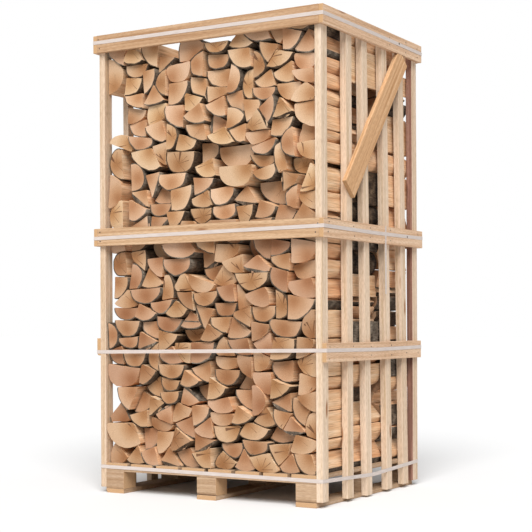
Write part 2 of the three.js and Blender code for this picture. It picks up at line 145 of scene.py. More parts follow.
# Straps and nails
STRAP_WIDTH = 16 * MM
STRAP_THICKNESS = 1 * MM
STRAP_BEND = 2.2 * MM
STRAP_CUTS = 15  # along each side of the crate
STRAP_TAIL = {"y": 92 * MM, "top": 1213 * MM, "bottom": 905 * MM, "width": 13 * MM}
NAIL_RADIUS = 3.6 * MM
NAIL_HEIGHT = 1.0 * MM
NAIL_TAPER = 0.8
NAIL_SIDES = 10
NAIL_LEVELS = (0.26, 0.74)  # shares of a rail's height
LEVEL_SCATTER = 0.08
NAIL_SCATTER = 8 * MM
STRAP_NAILS = ((601.6, 245, 2066), (601.6, 325, 1176))  # dark nails on the right side, in millimetres
STRAP_NAIL_RADIUS = 5.5 * MM

# Studio
AMBIENT = 0.4
KEY_STRENGTH = 3.95
KEY_SPREAD = math.radians(38)
KEY_DIRECTION = (-0.34, 0.62, -0.71)  # from the front right, halfway up
FLOOR_SIZE = 60

# Camera at the photograph's place: level, with the frame shifted up
CAMERA_PLACE = (3.16326, -5.27676, 0.76737)
CAMERA_TURN = (math.pi / 2, 0.0041, 0.5368)
CAMERA_LENS = 88.52
CAMERA_SENSOR = 36.0
CAMERA_SHIFT = 0.1107

noise.seed_set(NOISE_SEED)  # noise vectors are then the same each run


# Colours
def linear(hex_colour):
    """An sRGB hex value as a linear RGBA colour."""
    channels = [int(hex_colour[i:i + 2], 16) / 255 for i in (1, 3, 5)]
    return [c / 12.92 if c <= 0.04045 else ((c + 0.055) / 1.055) ** 2.4 for c in channels] + [1.0]


# Materials
SHARE, FIRST, SECOND = 0, 6, 7  # the inputs of a colour mix
MIXED = 2  # its output
BLEND = {"data_type": "RGBA", "blend_type": "MIX"}
DARKEN = {"data_type": "RGBA", "blend_type": "MULTIPLY"}
WHITE = "#FFFFFF"


def add(tree, kind, inputs=None, output=0, stops=(), **settings):
    """Adds a shader node with its settings, ramp stops and inputs (by name or place, each a value or an
    output to link), and gives one of its outputs."""
    made = tree.nodes.new("ShaderNode" + kind)
    for name, value in settings.items():
        setattr(made, name, value)
    for i, (position, colour) in enumerate(stops):
        elements = made.color_ramp.elements
        element = elements[i] if i < len(elements) else elements.new(position)
        element.position = position
        element.color = linear(colour)
    for key, value in (inputs or {}).items():
        if isinstance(value, bpy.types.NodeSocket):
            tree.links.new(value, made.inputs[key])
        else:
            made.inputs[key].default_value = linear(value) if isinstance(value, str) else value
    return made.outputs[output]


def new_material(name, roughness, specular=0.3):
    """A material with only its shader, which is linked later, and its node tree."""
    material = bpy.data.materials.new(name)
    material.use_nodes = True
    shader = material.node_tree.nodes["Principled BSDF"]
    shader.inputs["Roughness"].default_value = roughness
    shader.inputs["Specular IOR Level"].default_value = specular
    return material, material.node_tree


def coat(material, colour, height, depth):
    """Links a material's colour, and a relief of this depth from a height pattern."""
    tree = material.node_tree
    shader = tree.nodes["Principled BSDF"]
    normal = add(tree, "Bump", {"Height": height, "Distance": depth, "Strength": 1.0})
    tree.links.new(colour, shader.inputs["Base Color"])
    tree.links.new(normal, shader.inputs["Normal"])
    return material


def grain_cells(tree, along, across):
    """The piece's own map, (across, along) in metres, so that one pattern cell has this size."""
    grain = add(tree, "UVMap", uv_map="grain")
    cells = (1 / across, 1 / along, 1)
    return add(tree, "VectorMath", {0: grain, 1: cells}, operation="MULTIPLY")


def growth_rings(tree, radius):
    """Fine rings round the heart."""
    turns = add(tree, "Math", {0: radius, 1: 2 * math.pi / RING_SPACING}, operation="MULTIPLY")
    waves = add(tree, "Math", {0: turns}, operation="SINE")
    return add(tree, "MapRange", {"Value": waves, "From Min": -1.0, "To Max": RING_DARKNESS})


def drying_checks(tree, grain, radius, tint):
    """Thin cracks that run out from the heart, wider on some logs than on others."""
    parts = add(tree, "SeparateXYZ", {0: grain}).node.outputs
    angle = add(tree, "Math", {0: parts[1], 1: parts[0]}, operation="ARCTAN2")
    around = add(tree, "CombineXYZ", {0: angle, 1: tint, 2: radius})
    rays = add(tree, "TexNoise", {"Vector": around, "Scale": 1 / CHECK_TURN})
    from_mean = add(tree, "Math", {0: rays, 1: NOISE_MEAN}, operation="SUBTRACT")
    from_line = add(tree, "Math", {0: from_mean}, operation="ABSOLUTE")
    width = add(tree, "MapRange", {"Value": tint, "From Min": WHOLE_SHARE, "To Max": CHECK_WIDTH})
    is_check = add(tree, "Math", {0: from_line, 1: width}, operation="LESS_THAN")
    is_near = add(tree, "Math", {0: radius, 1: CHECK_REACH}, operation="LESS_THAN")
    found = add(tree, "Math", {0: is_check, 1: is_near}, operation="MULTIPLY")
    return add(tree, "Math", {0: found, 1: CHECK_DARKNESS}, operation="MULTIPLY")


def chainsawn_end_grain():
    """End grain of hardwood logs off a chain saw: pale pinkish tan, browner at the heart, with growth
    rings, drying checks and a fuzz of torn fibres, which is drawn coarser than it is so that it shows."""
    material, tree = new_material("chainsawn_hardwood_end_grain", roughness=0.82)
    tint = add(tree, "Attribute", {}, "Fac", attribute_name="tint")
    shade = add(tree, "Attribute", {}, "Fac", attribute_name="shade")
    grain = add(tree, "UVMap", uv_map="grain")
    place = add(tree, "TexCoord", {}, "Object")
    blotch = add(tree, "TexNoise", {"Vector": place, "Scale": 1 / (32 * MM), "Detail": 3.0})
    wobble = add(tree, "Math", {0: blotch, 1: 14 * MM}, operation="MULTIPLY")
    radius = add(tree, "VectorMath", {0: grain}, "Value", operation="LENGTH")
    uneven = add(tree, "Math", {0: radius, 1: wobble}, operation="ADD")
    span = {"Value": uneven, "From Min": 8 * MM, "From Max": 95 * MM}
    from_heart = add(tree, "MapRange", span, interpolation_type="SMOOTHSTEP")
    pink = ((0.0, "#B1805B"), (0.35, "#C49976"), (0.75, "#D1AB8B"), (1.0, "#DAB89B"))
    gold = ((0.0, "#AA7D50"), (0.35, "#C19A70"), (0.75, "#CEAD86"), (1.0, "#D8BB98"))
    pinkish = add(tree, "ValToRGB", {"Fac": from_heart}, stops=pink)
    golden = add(tree, "ValToRGB", {"Fac": from_heart}, stops=gold)
    colour = add(tree, "Mix", {SHARE: tint, FIRST: pinkish, SECOND: golden}, MIXED, **BLEND)
    rings = growth_rings(tree, uneven)
    colour = add(tree, "Mix", {SHARE: rings, FIRST: colour, SECOND: "#9C6C46"}, MIXED, **BLEND)
    checks = drying_checks(tree, grain, radius, tint)
    colour = add(tree, "Mix", {SHARE: checks, FIRST: colour, SECOND: "#5E3A22"}, MIXED, **BLEND)
    fuzz = add(tree, "TexNoise", {"Vector": place, "Scale": 1 / (2.4 * MM)})
    speckle = add(tree, "ValToRGB", {"Fac": fuzz}, stops=((0.3, "#C9C0B8"), (0.62, WHITE)))
    colour = add(tree, "Mix", {SHARE: FUZZ_DARKNESS, FIRST: colour, SECOND: speckle}, MIXED, **DARKEN)
    # The log's shade darkens its end, painted shade on logs low in the stack included.
    darkness = add(tree, "Math", {0: shade, 1: END_SHADE}, operation="MULTIPLY")
    colour = add(tree, "Mix", {SHARE: darkness, FIRST: colour, SECOND: "#9A6A46"}, MIXED, **DARKEN)
    return coat(material, colour, fuzz, depth=0.7 * MM)


def split_wood():
    """Faces of logs torn open along the grain: orange tan with long fibres that catch the light, drawn
    coarser than they are so that they show."""
    material, tree = new_material("split_hardwood", roughness=0.8)
    tint = add(tree, "Attribute", {}, "Fac", attribute_name="tint")
    shade = add(tree, "Attribute", {}, "Fac", attribute_name="shade")
    long_cells = grain_cells(tree, along=120 * MM, across=3.2 * MM)
    fibres = add(tree, "TexNoise", {"Vector": long_cells, "Scale": 1.0, "Detail": 4.0})
    wide_cells = grain_cells(tree, along=300 * MM, across=26 * MM)
    bands = add(tree, "TexNoise", {"Vector": wide_cells, "Scale": 1.0})
    orange = ((0.28, "#D2976A"), (0.5, "#E8B488"), (0.72, "#F2CBA6"))
    cream = ((0.28, "#D8A97D"), (0.5, "#EBC69D"), (0.72, "#F4D9B8"))
    warm = add(tree, "ValToRGB", {"Fac": bands}, stops=orange)
    pale = add(tree, "ValToRGB", {"Fac": bands}, stops=cream)
    colour = add(tree, "Mix", {SHARE: tint, FIRST: warm, SECOND: pale}, MIXED, **BLEND)
    streaks = add(tree, "ValToRGB", {"Fac": fibres}, stops=((0.32, "#A99A8C"), (0.6, WHITE)))
    colour = add(tree, "Mix", {SHARE: FIBRE_DARKNESS, FIRST: colour, SECOND: streaks}, MIXED, **DARKEN)
    # The log's shade darkens its split faces a little, painted shade low in the stack included.
    darkness = add(tree, "Math", {0: shade, 1: SPLIT_SHADE}, operation="MULTIPLY")
    colour = add(tree, "Mix", {SHARE: darkness, FIRST: colour, SECOND: "#8C5C3A"}, MIXED, **DARKEN)
    return coat(material, colour, fibres, depth=1.6 * MM)


def smooth_bark():
    """Thin bark of young hardwood: grey brown with paler lichen patches and shallow furrows."""
    material, tree = new_material("smooth_hardwood_bark", roughness=0.9)
    tint = add(tree, "Attribute", {}, "Fac", attribute_name="tint")
    place = add(tree, "TexCoord", {}, "Object")
    long_cells = grain_cells(tree, along=34 * MM, across=7 * MM)
    furrows = add(tree, "TexNoise", {"Vector": long_cells, "Scale": 1.0, "Detail": 5.0})
    patches = add(tree, "TexNoise", {"Vector": place, "Scale": 1 / (45 * MM), "Detail": 4.0})
    grey = ((0.3, "#443A30"), (0.5, "#685D51"), (0.66, "#8B8072"), (0.8, "#A59B8B"))
    brown = ((0.3, "#2B1D12"), (0.52, "#493522"), (0.72, "#6B5640"))
    greyish = add(tree, "ValToRGB", {"Fac": patches}, stops=grey)
    brownish = add(tree, "ValToRGB", {"Fac": patches}, stops=brown)
    colour = add(tree, "Mix", {SHARE: tint, FIRST: greyish, SECOND: brownish}, MIXED, **BLEND)
    shadows = add(tree, "ValToRGB", {"Fac": furrows}, stops=((0.34, "#665647"), (0.56, WHITE)))
    colour = add(tree, "Mix", {SHARE: FURROW_DARKNESS, FIRST: colour, SECOND: shadows}, MIXED, **DARKEN)
    return coat(material, colour, furrows, depth=2.2 * MM)


def board_knots(tree):
    """Round knots, one here and there along a board."""
    cells = grain_cells(tree, along=330 * MM, across=52 * MM)
    places = {"Vector": cells, "Scale": 1.0, "Randomness": 1.0}
    distance = add(tree, "TexVoronoi", places, "Distance")
    chance = add(tree, "SeparateColor", {0: distance.node.outputs["Color"]})
    has_knot = add(tree, "Math", {0: chance, 1: KNOT_SHARE}, operation="LESS_THAN")
    start, end = KNOT_EDGE
    edge = {"Value": distance, "From Min": start, "From Max": end, "To Min": 1.0, "To Max": 0.0}
    round_knot = add(tree, "MapRange", edge)
    return add(tree, "Math", {0: has_knot, 1: round_knot}, operation="MULTIPLY")


def sawn_softwood(name, pale, usual, dark, knot):
    """Band-sawn softwood boards: long soft growth streaks, a knot here and there, and saw fuzz, which is
    drawn coarser than it is so that it shows."""
    material, tree = new_material(name, roughness=0.78)
    tint = add(tree, "Attribute", {}, "Fac", attribute_name="tint")
    long_cells = grain_cells(tree, along=620 * MM, across=9 * MM)
    streaks = {"Vector": long_cells, "Scale": 1.0, "Detail": 3.0, "Distortion": 0.6}
    growth = add(tree, "TexNoise", streaks)
    short_cells = grain_cells(tree, along=26 * MM, across=2.2 * MM)
    fuzz = add(tree, "TexNoise", {"Vector": short_cells, "Scale": 1.0})
    fresh = add(tree, "ValToRGB", {"Fac": growth}, stops=((0.3, dark), (0.5, usual), (0.68, pale)))
    weathered = add(tree, "Mix", {SHARE: WEATHER_DARKNESS, FIRST: fresh, SECOND: dark}, MIXED, **DARKEN)
    age = add(tree, "Math", {0: tint, 1: WEATHER_SHARE}, operation="MULTIPLY")
    colour = add(tree, "Mix", {SHARE: age, FIRST: fresh, SECOND: weathered}, MIXED, **BLEND)
    colour = add(tree, "Mix", {SHARE: board_knots(tree), FIRST: colour, SECOND: knot}, MIXED, **BLEND)
    speckle = add(tree, "ValToRGB", {"Fac": fuzz}, stops=((0.3, "#CFC6BC"), (0.6, WHITE)))
    colour = add(tree, "Mix", {SHARE: SAW_FUZZ_DARKNESS, FIRST: colour, SECOND: speckle}, MIXED, **DARKEN)
    return coat(material, colour, fuzz, depth=0.5 * MM)


def softwood_ends(name, early, late):
    """Sawn-off board ends: darker than the faces, with bowed growth rings."""
    material, tree = new_material(name, roughness=0.85)
    cells = grain_cells(tree, along=13 * MM, across=9 * MM)
    bows = {"Vector": cells, "Scale": 1.0, "Distortion": 1.2, "Detail": 2.0}
    rings = add(tree, "TexWave", bows, "Fac", wave_type="RINGS")
    colour = add(tree, "ValToRGB", {"Fac": rings}, stops=((0.2, late), (0.7, early)))
    return coat(material, colour, rings, depth=0.4 * MM)


def woven_strap():
    """White woven polyester strapping: a satin band with lengthwise cords, drawn twice as coarse as they
    are so that they show."""
    material, tree = new_material("white_woven_polyester_strapping", roughness=0.42, specular=0.45)
    cells = grain_cells(tree, along=60 * MM, across=1.6 * MM)
    cords = add(tree, "TexNoise", {"Vector": cells, "Scale": 1.0, "Detail": 1.0})
    colour = add(tree, "ValToRGB", {"Fac": cords}, stops=((0.3, "#B9ABA2"), (0.6, "#CBBFB8")))
    return coat(material, colour, cords, depth=0.3 * MM)


def nail_steel():
    """Bright steel nail heads, dulled and browned by the weather."""
    material, tree = new_material("weathered_nail_steel", roughness=0.5, specular=0.5)
    tree.nodes["Principled BSDF"].inputs["Metallic"].default_value = 0.7
    place = add(tree, "TexCoord", {}, "Object")
    rust = add(tree, "TexNoise", {"Vector": place, "Scale": 1 / (3 * MM)})
    colour = add(tree, "ValToRGB", {"Fac": rust}, stops=((0.35, "#4A3A30"), (0.6, "#6E655E")))
    return coat(material, colour, rust, depth=0.1 * MM)


END_GRAIN = chainsawn_end_grain()
SPLIT = split_wood()
BARK = smooth_bark()
LATH = sawn_softwood("pale_sawn_spruce", "#E2CDB7", "#D8C0A7", "#C8AE8F", "#94643E")
# A darker reddish brown, drawn on one side of the back right post.
DARK_BROWN_LATH = sawn_softwood("dark_brown_sawn_spruce", "#A98373", "#987060", "#825B4C", "#5E3A2C")
CROSS_RAIL = sawn_softwood("yellow_sawn_pine", "#D0B190", "#C3A07D", "#AE8863", "#84522D")
SIDE_RAIL = sawn_softwood("pale_sawn_pine", "#DDC0A3", "#D0AD8E", "#BA9472", "#84522D")
BRACE = sawn_softwood("brown_sawn_pine", "#DEB991", "#D2A87D", "#BC9063", "#7A4A26")
PALLET = sawn_softwood("used_sawn_pine", "#C3A88E", "#B89B7D", "#A58667", "#6E4A2E")
LATH_END = softwood_ends("sawn_spruce_end_grain", "#D9BC98", "#C6A37A")
RAIL_END = softwood_ends("sawn_pine_end_grain", "#C7A27A", "#B0885E")
PALLET_END = softwood_ends("used_pine_end_grain", "#C6A27C", "#AC8660")
STRAPPING = woven_strap()
NAIL = nail_steel()

LOG_MATERIALS = (END_GRAIN, SPLIT, BARK)
CROSS_RAILS = ("rail_top_front", "rail_top_back", "rail_middle_front", "rail_middle_back")
SIDE_RAILS = ("rail_top_left", "rail_top_right", "rail_middle_left", "rail_middle_right", "rail_lower_")
# The kinds of board by the starts of their names, each with the materials of its faces, its sawn ends and
# its darker reddish brown side, with its slot, and with the share of boards that have wane along an edge.
BOARD_KINDS = (
    (("post_", "slat_"), (LATH, LATH_END, DARK_BROWN_LATH), "lath_wood", 0.25),
    (CROSS_RAILS, (CROSS_RAIL, RAIL_END), "rail_wood", 0.2),
    (SIDE_RAILS, (SIDE_RAIL, RAIL_END), "rail_wood", 0.2),
    (("brace_",), (BRACE, RAIL_END), "rail_wood", 0.0),
    (("skid_", "stringer_", "deck_board_"), (PALLET, PALLET_END), "pallet_wood", 0.3),
    (("block_",), (PALLET, PALLET_END), "pallet_wood", 0.7),
)
FACE_PLACE, END_PLACE, DARK_BROWN_PLACE = range(3)  # in a board's materials


# Pieces
def finish_piece(name, built, materials, nodes):
    """Makes an object of a bmesh, at the origin, that stands for CAD nodes."""
    mesh = bpy.data.meshes.new(name)
    built.to_mesh(mesh)
    built.free()
    for material in materials:
        mesh.materials.append(material)
    piece = bpy.data.objects.new(name, mesh)
    bpy.context.scene.collection.objects.link(piece)
    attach(piece, "root")
    if nodes:
        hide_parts(*nodes)
    return piece


def merged_copy(node):
    """A CAD node's mesh with its triangles joined to flat faces."""
    copy = bmesh.new()
    copy.from_mesh(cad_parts[node].data)
    bmesh.ops.remove_doubles(copy, verts=copy.verts, dist=TOUCHING)
    bmesh.ops.dissolve_limit(copy, angle_limit=FLAT_TURN, verts=copy.verts, edges=copy.edges)
    return copy


def bevel(built, parts, offset, segments, affect="EDGES"):
    """Rounds edges or corners."""
    bmesh.ops.bevel(
        built, geom=parts, offset=offset, offset_type="OFFSET", segments=segments, profile=0.5,
        affect=affect, material=-1, clamp_overlap=affect == "VERTICES",
    )


def centre(points):
    """The mean of points."""
    return sum(points, Vector()) / len(points)


def noise_start(luck):
    """A chance place in the noise, so that no two shapes are alike."""
    return Vector([luck.uniform(0, NOISE_RANGE) for _ in range(3)])


def vertices_in(parts):
    """The vertices among the parts that an operator made."""
    return [part for part in parts if isinstance(part, bmesh.types.BMVert)]


# Sawn boards
def direction_of(edge):
    """The direction of an edge."""
    return (edge.verts[1].co - edge.verts[0].co).normalized()


def lay_grain(board, along, tint, dark_side_way, luck):
    """Maps the grain along a board, marks its sawn ends and darker side, and gives it its own tint."""
    across = along.orthogonal().normalized()
    other = along.cross(across)
    shift = Vector((luck.uniform(0, GRAIN_RANGE), luck.uniform(0, GRAIN_RANGE)))
    grain = board.loops.layers.uv.new("grain")
    tints = board.verts.layers.float.new("tint")
    for vertex in board.verts:
        vertex[tints] = tint
    for face in board.faces:
        face.smooth = False
        u, v = across, along
        if abs(face.normal.dot(along)) > SAME_WAY:
            face.material_index = END_PLACE
            v = other
        else:
            is_dark_brown = dark_side_way and face.normal.dot(dark_side_way) > SAME_WAY
            face.material_index = DARK_BROWN_PLACE if is_dark_brown else FACE_PLACE
            if abs(face.normal.dot(across)) > abs(face.normal.dot(other)):
                u = other
        for loop in face.loops:
            place = loop.vert.co
            loop[grain].uv = (place.dot(u) + shift.x, place.dot(v) + shift.y)


def warp(board, along, luck):
    """Bends a board a little and nicks its edges, but leaves it on the floor."""
    start = noise_start(luck)
    for vertex in board.verts:
        bend = noise.noise_vector(start + along * vertex.co.dot(along) / BEND_LENGTH)
        nick = noise.noise_vector(start + vertex.co / NICK["size"]) * NICK["share"]
        push = (bend + nick) * BOARD_WARP
        vertex.co += push - along * push.dot(along)
        vertex.co.z = max(vertex.co.z, 0.0)


def sawn_board(node, materials, wane_share):
    """A rough-sawn board in place of a CAD box: worn edges, some wane, and a little warp."""
    luck = random.Random(node)
    board = merged_copy(node)
    along = direction_of(max(board.edges, key=lambda edge: edge.calc_length()))
    if luck.random() < wane_share:
        long_edges = [edge for edge in board.edges if abs(direction_of(edge).dot(along)) > PARALLEL]
        bevel(board, [luck.choice(long_edges)], luck.uniform(*WANE), segments=4)
    bevel(board, board.edges[:], EDGE_WEAR, segments=2)
    reach = [vertex.co.dot(along) for vertex in board.verts]
    start, end = min(reach), max(reach)
    cuts = max(2, round((end - start) / BOARD_STEP))
    for cut in range(1, cuts):
        place = along * (start + (end - start) * cut / cuts)
        everything = board.verts[:] + board.edges[:] + board.faces[:]
        bmesh.ops.bisect_plane(board, geom=everything, dist=TOUCHING, plane_co=place, plane_no=along)
    warp(board, along, luck)
    lay_grain(board, along, BOARD_TINT.get(node, luck.random()), DARK_BROWN_SIDE.get(node), luck)
    finish_piece(node.replace("_", "-") + "-sawn", board, materials, [node])


def add_boards():
    """Every board of the crate and the pallet."""
    for starts, materials, slot, wane_share in BOARD_KINDS:
        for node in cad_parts:
            if node.startswith(starts):
                sawn_board(node, materials, wane_share)


# Firewood
def log_ends(node, toward):
    """The outlines of the log ends on the outer face of a row of firewood."""
    row = merged_copy(node)
    ends = []
    for face in row.faces:
        faces_out = face.normal.y * toward > END_FACING
        if faces_out and face.calc_center_median().y * toward > END_BAND:
            ends.append([vertex.co.copy() for vertex in face.verts])
    row.free()
    return ends


def turn_at(outline, i):
    """How far an outline turns at a corner."""
    before, corner, after = outline[i - 1], outline[i], outline[(i + 1) % len(outline)]
    first = Vector((corner.x - before.x, corner.z - before.z))
    second = Vector((after.x - corner.x, after.z - corner.z))
    return first.angle(second)


def gentle_run(outline):
    """The corners of the longest run of gentle turns, which is the round of the trunk."""
    count = len(outline)
    gentle = [turn_at(outline, i) < SMOOTH_TURN for i in range(count)]
    longest = []
    for start in range(count):
        run = []
        while len(run) < count and gentle[(start + len(run)) % count]:
            run.append((start + len(run)) % count)
        if len(run) > len(longest):
            longest = run
    return longest


def bark_edges(outline, round_corners, side_share, luck):
    """Which edges of an outline carry bark, unless it has come off: those along its round, and at the
    sides of the crate also those that face out."""
    count = len(outline)
    at_side = [abs(point.x) > SIDE_BAND for point in outline]
    has_bark = luck.random() < (side_share if any(at_side) else BARK_SHARE)
    carries = []
    for i in range(count):
        k = (i + 1) % count
        is_outside = i in round_corners or k in round_corners or (at_side[i] and at_side[k])
        carries.append(has_bark and is_outside)
    return carries


def heart_of(outline, bark):
    """Where the pith of the trunk was: across the log from its bark, or near a corner if it has none."""
    middle = centre(outline)
    on_bark = [point for i, point in enumerate(outline) if bark[i] or bark[i - 1]]
    if not on_bark:
        return outline[0].lerp(middle, HEART_FROM_CORNER)
    away = (middle - centre(on_bark)).normalized()
    reach = max((point - middle).length for point in outline)
    return middle + away * reach * HEART_PAST_MIDDLE


def distance_to_edge(place, first, second):
    """How far a point lies from an edge of the outline, seen along the log."""
    start, end = Vector((first.x, first.z)), Vector((second.x, second.z))
    point = Vector((place.x, place.z))
    run = end - start
    share = max(0.0, min(1.0, (point - start).dot(run) / run.length_squared))
    return (start + run * share - point).length


def lies_on(place, arc):
    """Whether a point lies on the chord of an arc."""
    start, run, _ = arc
    share = (place - start).dot(run) / run.length_squared
    return 0 < share < 1 and (start + run * share - place).length < TOUCHING


def arcs_of(outline, round_corners):
    """The arcs along the round of the trunk, each as its start, its chord and its greatest bow."""
    count = len(outline)
    middle = centre(outline)
    arcs = []
    for i, start in enumerate(outline):
        turns = [turn_at(outline, k) for k in (i, (i + 1) % count) if k in round_corners]
        if not turns:
            continue
        chord = outline[(i + 1) % count] - start
        out = Vector((chord.z, 0, -chord.x)).normalized()
        if out.dot(start + chord / 2 - middle) < 0:
            out.negate()
        # An arc that turns as far as its corners do rises this high over its chord.
        rise = chord.length / 2 * math.tan(sum(turns) / len(turns) / 4)
        arcs.append((start, chord, out * rise))
    return arcs


def bow_edges(log, arcs):
    """Bows edges out to arcs."""
    edges = []
    for edge in log.edges:
        middle = centre([vertex.co for vertex in edge.verts])
        if any(lies_on(middle, arc) for arc in arcs):
            edges.append(edge)
    cut = bmesh.ops.subdivide_edges(log, edges=edges, cuts=ARC_CUTS)["geom_inner"]
    for vertex in vertices_in(cut):
        start, chord, rise = next(arc for arc in arcs if lies_on(vertex.co, arc))
        share = (vertex.co - start).dot(chord) / chord.length_squared
        vertex.co += rise * 4 * share * (1 - share)  # a parabola, close to such a flat arc


def log_end(outline, round_corners):
    """The near end of a log as one face: bowed round the trunk and with worn split corners."""
    log = bmesh.new()
    log.faces.new([log.verts.new(point) for point in outline])
    if round_corners:
        bow_edges(log, arcs_of(outline, round_corners))
    split_corners = [point for i, point in enumerate(outline) if i not in round_corners]
    sharp = [v for v in log.verts if any((v.co - point).length < TOUCHING for point in split_corners)]
    if sharp:
        bevel(log, sharp, SPLIT_CORNER, segments=2, affect="VERTICES")
    bmesh.ops.remove_doubles(log, verts=log.verts, dist=LEAST_EDGE)
    wide = [edge for edge in log.edges if edge.calc_length() > OUTLINE_STEP]
    bmesh.ops.subdivide_edges(log, edges=wide, cuts=2)
    return log


def rough_log(outline, far, side_share, luck):
    """One split log, drawn out from the outline of its near end to the depth of its far end."""
    round_corners = gentle_run(outline)
    bark = bark_edges(outline, round_corners, side_share, luck)
    log = log_end(outline, round_corners)
    rim = set(log.verts)
    drawn = bmesh.ops.extrude_face_region(log, geom=log.faces[:])["geom"]
    for vertex in vertices_in(drawn):
        vertex.co.y = far
    runs = [edge for edge in log.edges if (edge.verts[0] in rim) != (edge.verts[1] in rim)]
    bmesh.ops.subdivide_edges(log, edges=runs, cuts=LENGTH_CUTS, use_grid_fill=True)
    bmesh.ops.recalc_face_normals(log, faces=log.faces[:])
    for end in [face for face in log.faces if abs(face.normal.y) > SAME_WAY]:
        bmesh.ops.inset_region(log, faces=[end], thickness=BARK_THICKNESS)
    roughen(log, centre(outline), luck)
    dress_log(log, outline, bark, luck)
    return log


def roughen(log, middle, luck):
    """Uneven faces, as logs tear along the grain and trunks aren't straight."""
    start = noise_start(luck)
    for vertex in log.verts:
        place = vertex.co
        lump = Vector((place.x / LUMP["across"], place.y / LUMP["along"], place.z / LUMP["across"]))
        height = noise.noise(start + lump)
        height += noise.noise(start + lump / FINER_LUMP["size"]) * FINER_LUMP["share"]
        out = Vector((place.x - middle.x, 0, place.z - middle.z)).normalized()
        vertex.co += out * (height * LUMP["depth"] - LOG_GAP)


def tint_log(log, is_low, luck):
    """Gives a log its own tint, and a shade: a random darkness, with painted shade added low in the
    stack.
    """
    tint = luck.random()
    shade = luck.random() ** SHADE_LEAN * (1 - LOW_PAINTED_SHADE)
    if is_low:
        shade += LOW_PAINTED_SHADE
    tints = log.verts.layers.float.new("tint")
    shades = log.verts.layers.float.new("shade")
    for vertex in log.verts:
        vertex[tints] = tint
        vertex[shades] = shade


def dress_log(log, outline, bark, luck):
    """Gives a log its bark, split faces and sawn ends, and its grain map."""
    tint_log(log, outline[0].z < PAINTED_SHADE_BELOW, luck)
    heart = heart_of(outline, bark)
    shift = luck.uniform(0, GRAIN_RANGE)
    grain = log.loops.layers.uv.new("grain")
    pairs = [(outline[i], outline[(i + 1) % len(outline)]) for i in range(len(outline))]
    for face in log.faces:
        is_end = abs(face.normal.y) > SAME_WAY
        is_rim = is_end and len(face.verts) == 4
        middle = face.calc_center_median()
        nearest = min(range(len(pairs)), key=lambda i: distance_to_edge(middle, *pairs[i]))
        if bark[nearest] and (is_rim or not is_end):
            face.material_index = LOG_MATERIALS.index(BARK)
        elif not is_end:
            face.material_index = LOG_MATERIALS.index(SPLIT)
        face.smooth = bark[nearest] and not is_end
        first, second = pairs[nearest]
        run = Vector((second.x - first.x, 0, second.z - first.z)).normalized()
        for loop in face.loops:
            place = loop.vert.co
            if is_end:
                loop[grain].uv = (place.x - heart.x, place.z - heart.z)
            else:
                loop[grain].uv = (place.dot(run) + shift, place.y + shift)


def course_of(outline):
    """Which course of its row a log belongs to."""
    return sum(centre(outline).z > level for level in COURSES)


def add_row(name, node, logs):
    """The logs of a row, as (outline, far depth) pairs, joined course by course."""
    luck = random.Random(name)
    courses = [bmesh.new() for _ in range(len(COURSES) + 1)]
    for outline, far in logs:
        log = rough_log(outline, far, SIDE_BARK_SHARE[name], luck)
        alone = bpy.data.meshes.new("log")
        log.to_mesh(alone)
        log.free()
        courses[course_of(outline)].from_mesh(alone)
        bpy.data.meshes.remove(alone)
    for i, course in enumerate(courses):
        finish_piece(f"{name}-logs-{i + 1}", course, LOG_MATERIALS, [node])


def add_firewood():
    """Three rows of logs, one behind the other. The middle row mirrors the front row."""
    front = log_ends("firewood_front_row", -1)
    back = log_ends("firewood_back_row", 1)
    luck = random.Random("middle row")
    near, far = MIDDLE_ROW
    middle = []
    for outline in front:
        start = near + luck.uniform(0, MIDDLE_SET_BACK)
        flipped = [Vector((-point.x, start, point.z)) for point in reversed(outline)]
        middle.append((flipped, far - luck.uniform(0, MIDDLE_SET_BACK)))
    add_row("front", "firewood_front_row", [(outline, FRONT_ROW_BACK) for outline in front])
    add_row("middle", "firewood_middle_row", middle)
    add_row("back", "firewood_back_row", [(outline, -FRONT_ROW_BACK) for outline in back])


# Straps
def lowest(points):
    """The height of the lowest of some points."""
    return min(point.z for point in points)


def level_band(half_width, half_depth):
    """A flat band round the crate at no height, bent softly round the corners."""
    strap = bmesh.new()
    bmesh.ops.create_grid(strap, x_segments=1, y_segments=1, size=1)
    bmesh.ops.scale(strap, vec=(half_width, half_depth, 1), verts=strap.verts)
    bevel(strap, strap.verts[:], STRAP_BEND, segments=4, affect="VERTICES")
    bmesh.ops.delete(strap, geom=strap.faces[:], context="FACES_ONLY")
    sides = [edge for edge in strap.edges if edge.calc_length() > STRAP_WIDTH]
    bmesh.ops.subdivide_edges(strap, edges=sides, cuts=STRAP_CUTS)
    drawn = bmesh.ops.extrude_edge_only(strap, edges=strap.edges[:])["geom"]
    bmesh.ops.translate(strap, vec=(0, 0, STRAP_WIDTH), verts=vertices_in(drawn))
    bmesh.ops.recalc_face_normals(strap, faces=strap.faces[:])
    bmesh.ops.solidify(strap, geom=strap.faces[:], thickness=STRAP_THICKNESS)
    bmesh.ops.recalc_face_normals(strap, faces=strap.faces[:])
    return strap


